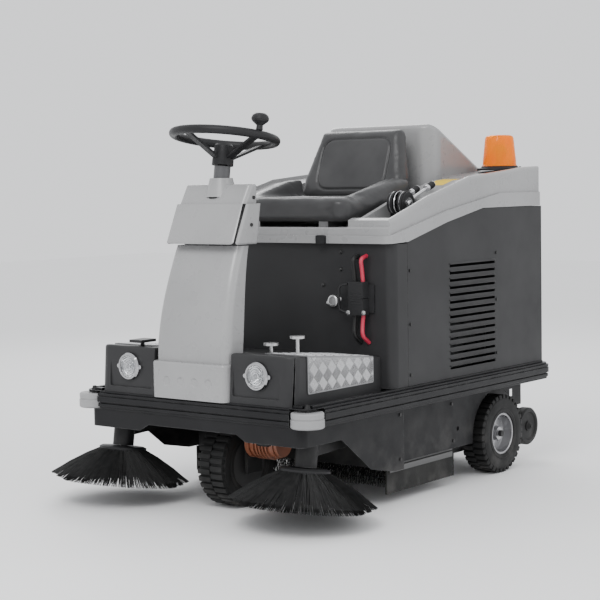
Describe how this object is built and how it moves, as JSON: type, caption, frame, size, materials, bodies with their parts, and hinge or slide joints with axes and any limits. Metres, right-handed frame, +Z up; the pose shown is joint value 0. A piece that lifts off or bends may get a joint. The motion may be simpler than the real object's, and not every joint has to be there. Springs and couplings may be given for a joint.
{
  "type": "ride on sweeper",
  "caption": "Battery ride-on floor sweeper: steered front wheel, side brushes, main brush, rear hopper, louvred body, opening hood with sliding seat and warning lamp.",
  "frame": {"origin": "on the floor under the middle of the machine's overall box", "axes": "+Z up, the front of the machine faces -Y, its left side is +X"},
  "size_m": [1.1, 1.4946, 1.1318],
  "materials": {
    "frame_steel": "satin",
    "rail_black": "satin",
    "skirt_black": "satin",
    "rubber_black": "matte",
    "strip_steel": "brushed",
    "platform_charcoal": "satin",
    "checker_aluminium": "bright",
    "lamp_chrome": "polished",
    "lamp_glass": "clear",
    "shell_grey": "semi-gloss",
    "tube_steel": "satin",
    "panel_charcoal": "satin",
    "control_black": "satin",
    "connector_black": "matte",
    "lead_red": "satin",
    "lead_black": "satin",
    "battery_case": "satin",
    "filter_case": "matte",
    "screw_black": "satin",
    "tyre_rubber": "matte",
    "rim_silver": "painted",
    "drive_rim": "satin",
    "motor_copper": "satin",
    "roller_grey": "satin",
    "brush_plastic": "satin",
    "bristle_black": "matte",
    "hopper_steel": "satin",
    "small_wheel": "satin",
    "seat_vinyl": "satin",
    "rail_steel": "satin",
    "beacon_black": "satin",
    "beacon_amber": "clear",
    "lever_chrome": "polished",
    "pedal_steel": "satin"
  },
  "bodies": {
    "chassis": {"chassis_frame": "frame_steel", "bumper_rail": "rail_black", "front_skirt": "skirt_black", "side_skirts": "skirt_black", "side_flaps": "rubber_black", "flap_strips": "strip_steel", "foot_platform": "platform_charcoal", "tread_plates": "checker_aluminium", "headlight_bezels": "lamp_chrome", "headlight_lenses": "lamp_glass", "column_apron": "shell_grey", "head_cover_lower": "shell_grey", "head_cover_upper": "shell_grey", "steering_tube": "tube_steel", "main_brush_housing": "frame_steel", "front_panel": "panel_charcoal", "side_panels": "panel_charcoal", "rear_panel": "panel_charcoal", "battery_connector": "connector_black", "cable_red": "lead_red", "cable_black": "lead_black", "battery_pack": "battery_case", "dust_filter": "filter_case", "panel_screws": "screw_black"},
    "steering_wheel": {"steering_wheel": "control_black"},
    "spinner_knob": {"spinner_knob": "control_black"},
    "fork": {"steer_fork": "frame_steel", "drive_motor": "motor_copper"},
    "front_wheel": {"front_tyre": "tyre_rubber", "front_rim": "drive_rim"},
    "rear_wheel_left": {"rear_tyre_left": "tyre_rubber", "rear_rim_left": "rim_silver"},
    "rear_wheel_right": {"rear_tyre_right": "tyre_rubber", "rear_rim_right": "rim_silver"},
    "roller_left": {"roller_left": "roller_grey"},
    "roller_right": {"roller_right": "roller_grey"},
    "side_brush_arm_left": {"brush_arm_left": "frame_steel"},
    "side_brush_arm_right": {"brush_arm_right": "frame_steel"},
    "side_brush_left": {"brush_disc_left": "brush_plastic", "brush_bristles_left": "bristle_black"},
    "side_brush_right": {"brush_disc_right": "brush_plastic", "brush_bristles_right": "bristle_black"},
    "main_brush_lift": {"main_brush_frame": "frame_steel"},
    "main_brush": {"main_brush": "bristle_black"},
    "hopper": {"hopper": "hopper_steel"},
    "hopper_wheel_left": {"hopper_wheel_left": "small_wheel"},
    "hopper_wheel_right": {"hopper_wheel_right": "small_wheel"},
    "hood": {"upper_shell": "shell_grey", "seat_rails": "rail_steel", "beacon_base": "beacon_black", "beacon_lens": "beacon_amber", "lever_bracket": "control_black"},
    "seat": {"seat_cushion": "seat_vinyl", "seat_back": "seat_vinyl"},
    "side_brush_lever": {"side_brush_lever": "lever_chrome"},
    "main_brush_lever": {"main_brush_lever": "lever_chrome"},
    "accelerator_pedal": {"accelerator_pedal": "pedal_steel"},
    "brake_pedal": {"brake_pedal": "pedal_steel"},
    "treadle": {"treadle": "control_black"},
    "hood_latch": {"hood_latch": "control_black"}
  },
  "joints": [
    {"name": "fork_turn", "type": "hinge", "parent": "chassis", "child": "fork", "pos_m": [0, -0.412, 0.3], "axis": [0, 0, 1], "range_deg": [-60, 60]},
    {"name": "steering_turn", "type": "hinge", "parent": "chassis", "child": "steering_wheel", "pos_m": [0, -0.456, 0.956], "axis": [0, 0.1513, 0.9885], "range_deg": [-180, 180]},
    {"name": "spinner_spin", "type": "hinge", "parent": "steering_wheel", "child": "spinner_knob", "pos_m": [0.14568, -0.46172, 1.07119], "axis": [0, 0.1513, 0.9885], "continuous": true},
    {"name": "front_wheel_spin", "type": "hinge", "parent": "fork", "child": "front_wheel", "pos_m": [0, -0.412, 0.125], "axis": [1, 0, 0], "continuous": true},
    {"name": "rear_left_spin", "type": "hinge", "parent": "chassis", "child": "rear_wheel_left", "pos_m": [0.3475, 0.442, 0.125], "axis": [1, 0, 0], "continuous": true},
    {"name": "rear_right_spin", "type": "hinge", "parent": "chassis", "child": "rear_wheel_right", "pos_m": [-0.3475, 0.442, 0.125], "axis": [1, 0, 0], "continuous": true},
    {"name": "roller_left_spin", "type": "hinge", "parent": "chassis", "child": "roller_left", "pos_m": [0.4, -0.59, 0.303], "axis": [0, 0, 1], "continuous": true},
    {"name": "roller_right_spin", "type": "hinge", "parent": "chassis", "child": "roller_right", "pos_m": [-0.4, -0.59, 0.303], "axis": [0, 0, 1], "continuous": true},
    {"name": "side_arm_left_lower", "type": "hinge", "parent": "chassis", "child": "side_brush_arm_left", "pos_m": [0.345, -0.24, 0.215], "axis": [1, 0, 0], "range_deg": [0, 12]},
    {"name": "side_arm_right_lower", "type": "hinge", "parent": "chassis", "child": "side_brush_arm_right", "pos_m": [-0.345, -0.24, 0.215], "axis": [1, 0, 0], "range_deg": [0, 12]},
    {"name": "side_brush_left_spin", "type": "hinge", "parent": "side_brush_arm_left", "child": "side_brush_left", "pos_m": [0.345, -0.532, 0.16], "axis": [0, 0.1564, 0.9877], "continuous": true},
    {"name": "side_brush_right_spin", "type": "hinge", "parent": "side_brush_arm_right", "child": "side_brush_right", "pos_m": [-0.345, -0.532, 0.16], "axis": [0, 0.1564, 0.9877], "continuous": true},
    {"name": "main_brush_lower", "type": "hinge", "parent": "chassis", "child": "main_brush_lift", "pos_m": [0, 0.118, 0.196], "axis": [1, 0, 0], "range_deg": [0, 5]},
    {"name": "main_brush_spin", "type": "hinge", "parent": "main_brush_lift", "child": "main_brush", "pos_m": [0, -0.02, 0.143], "axis": [1, 0, 0], "continuous": true},
    {"name": "hopper_pull", "type": "slide", "parent": "chassis", "child": "hopper", "axis": [0, 1, 0], "range_m": [0, 0.45]},
    {"name": "hopper_wheel_left_spin", "type": "hinge", "parent": "hopper", "child": "hopper_wheel_left", "pos_m": [0.33, 0.6853, 0.113], "axis": [1, 0, 0], "continuous": true},
    {"name": "hopper_wheel_right_spin", "type": "hinge", "parent": "hopper", "child": "hopper_wheel_right", "pos_m": [-0.33, 0.6853, 0.113], "axis": [1, 0, 0], "continuous": true},
    {"name": "hood_open", "type": "hinge", "parent": "chassis", "child": "hood", "pos_m": [0, 0.677, 0.85], "axis": [-1, 0, 0], "range_deg": [0, 45]},
    {"name": "seat_slide", "type": "slide", "parent": "hood", "child": "seat", "axis": [0, -1, 0], "range_m": [0, 0.1]},
    {"name": "side_brush_lever_turn", "type": "hinge", "parent": "hood", "child": "side_brush_lever", "pos_m": [0.303, -0.021, 0.87], "axis": [1, 0, 0], "range_deg": [0, 48]},
    {"name": "main_brush_lever_turn", "type": "hinge", "parent": "hood", "child": "main_brush_lever", "pos_m": [0.337, -0.021, 0.87], "axis": [1, 0, 0], "range_deg": [0, 40]},
    {"name": "accelerator_press", "type": "hinge", "parent": "chassis", "child": "accelerator_pedal", "pos_m": [0.2, -0.492, 0.424], "axis": [1, 0, 0], "range_deg": [0, 14], "stiffness_Nm_per_rad": 4, "springref_deg": -11.46},
    {"name": "brake_press", "type": "hinge", "parent": "chassis", "child": "brake_pedal", "pos_m": [0.27, -0.462, 0.424], "axis": [1, 0, 0], "range_deg": [0, 14], "stiffness_Nm_per_rad": 5, "springref_deg": -11.46},
    {"name": "treadle_press", "type": "slide", "parent": "chassis", "child": "treadle", "axis": [0, 0, -1], "range_m": [0, 0.008], "stiffness_N_per_m": 900, "springref_m": -0.006},
    {"name": "latch_pull", "type": "hinge", "parent": "hood", "child": "hood_latch", "pos_m": [0.166, -0.2102, 0.7782], "axis": [-1, 0, 0], "range_deg": [0, 30], "stiffness_Nm_per_rad": 0.5, "springref_deg": -11.46}
  ],
  "couplings": [
    {"joint": "steering_turn", "follows": "fork_turn", "ratio": 3},
    {"joint": "side_arm_right_lower", "follows": "side_arm_left_lower", "ratio": 1},
    {"joint": "side_brush_lever_turn", "follows": "side_arm_left_lower", "ratio": 4},
    {"joint": "main_brush_lever_turn", "follows": "main_brush_lower", "ratio": 8}
  ]
}
